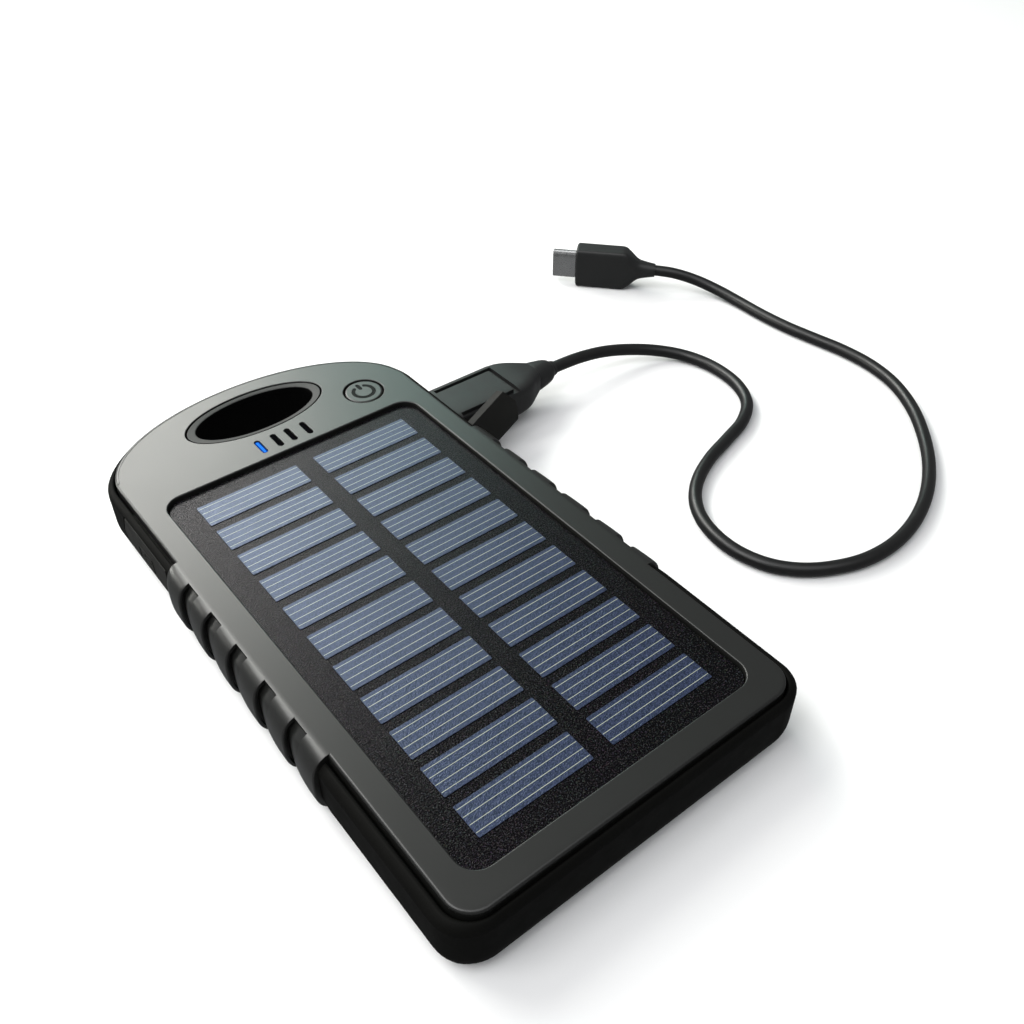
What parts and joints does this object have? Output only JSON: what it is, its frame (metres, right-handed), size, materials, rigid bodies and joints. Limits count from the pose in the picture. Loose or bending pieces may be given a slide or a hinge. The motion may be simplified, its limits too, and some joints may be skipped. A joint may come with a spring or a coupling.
{
  "type": "solar phone charger",
  "caption": "Rugged pocket solar charger: grey shell with ribbed grips, black rubber edge, two columns of solar cells, handle hole, push button and plugged-in cable.",
  "frame": {"origin": "centre of the flat back face, under the middle of the case's straight part", "axes": "+X towards the output socket's side, +Y towards the handle hole, +Z out of the solar panel"},
  "size_m": [0.1808, 0.1527, 0.0166],
  "materials": {
    "shell": "satin grey-green moulded plastic",
    "rubber": "soft matte black rubber",
    "back_plastic": "fine-textured black plastic",
    "panel_skin": "near-black laminate with a fine sparkling grain",
    "solar_cell": "slate-blue cell with four pale contact lines",
    "light_guide": "smoked clear plastic, one prong lit blue",
    "tape": "foam tape",
    "circuit": "green solder mask",
    "black_plastic": "moulded",
    "white_plastic": "moulded",
    "steel": "plated",
    "foil": "foil pouch",
    "wire": "insulated wire",
    "cable_grip": "satin moulded grip",
    "cord_skin": "satin black cord jacket"
  },
  "bodies": {
    "housing": {"front_frame": "shell", "rear_cover": "back_plastic", "bumper_ring": "rubber", "handle_trim_ring": "shell", "handle_sleeve": "back_plastic", "panel_board": "panel_skin", "panel_tape": "tape", "switch_body": "black_plastic", "circuit_board": "circuit", "charge_controller_chip": "black_plastic", "inductor": "black_plastic", "capacitor": "foil", "indicator_led_1": "white_plastic", "indicator_led_2": "white_plastic", "indicator_led_3": "white_plastic", "indicator_led_4": "white_plastic", "light_guide": "light_guide", "usb_socket_shell": "steel", "usb_socket_tongue": "white_plastic", "micro_usb_socket": "steel", "battery_pouch": "foil", "battery_leads": "wire", "panel_leads": "wire", "screw_1": "steel", "screw_2": "steel", "screw_3": "steel", "screw_4": "steel", "solar_cell_left_01": "solar_cell", "solar_cell_left_02": "solar_cell", "solar_cell_left_03": "solar_cell", "solar_cell_left_04": "solar_cell", "solar_cell_left_05": "solar_cell", "solar_cell_left_06": "solar_cell", "solar_cell_left_07": "solar_cell", "solar_cell_left_08": "solar_cell", "solar_cell_left_09": "solar_cell", "solar_cell_left_10": "solar_cell", "solar_cell_left_11": "solar_cell", "solar_cell_right_01": "solar_cell", "solar_cell_right_02": "solar_cell", "solar_cell_right_03": "solar_cell", "solar_cell_right_04": "solar_cell", "solar_cell_right_05": "solar_cell", "solar_cell_right_06": "solar_cell", "solar_cell_right_07": "solar_cell", "solar_cell_right_08": "solar_cell", "solar_cell_right_09": "solar_cell", "solar_cell_right_10": "solar_cell", "solar_cell_right_11": "solar_cell"},
    "button": {"power_button": "shell"},
    "plunger": {"switch_plunger": "white_plastic"},
    "left_flap": {"port_flap_left": "rubber"},
    "right_flap": {"port_flap_right": "rubber"},
    "cable": {"usb_plug_shell": "steel", "usb_plug_insulator": "white_plastic", "plug_overmold": "cable_grip", "plug_strain_relief": "cable_grip", "cord": "cord_skin", "connector_overmold": "cable_grip", "connector_tip": "steel"}
  },
  "joints": [
    {"name": "button_press", "type": "slide", "parent": "housing", "child": "button", "axis": [0, 0, -1], "range_m": [0, 0.00045], "stiffness_N_per_m": 400},
    {"name": "plunger_press", "type": "slide", "parent": "housing", "child": "plunger", "axis": [0, 0, -1], "range_m": [0, 0.00045]},
    {"name": "left_flap_hinge", "type": "hinge", "parent": "housing", "child": "left_flap", "pos_m": [-0.0362, 0.0243, 0.007], "axis": [0, 0, 1], "range_deg": [0, 100]},
    {"name": "right_flap_hinge", "type": "hinge", "parent": "housing", "child": "right_flap", "pos_m": [0.0362, 0.0243, 0.007], "axis": [0, -0.342, -0.9397], "range_deg": [-1, 20]},
    {"name": "plug_slide", "type": "slide", "parent": "housing", "child": "cable", "axis": [1, 0, 0], "range_m": [0, 0.014]}
  ],
  "couplings": [
    {"joint": "plunger_press", "follows": "button_press", "ratio": 1}
  ]
}
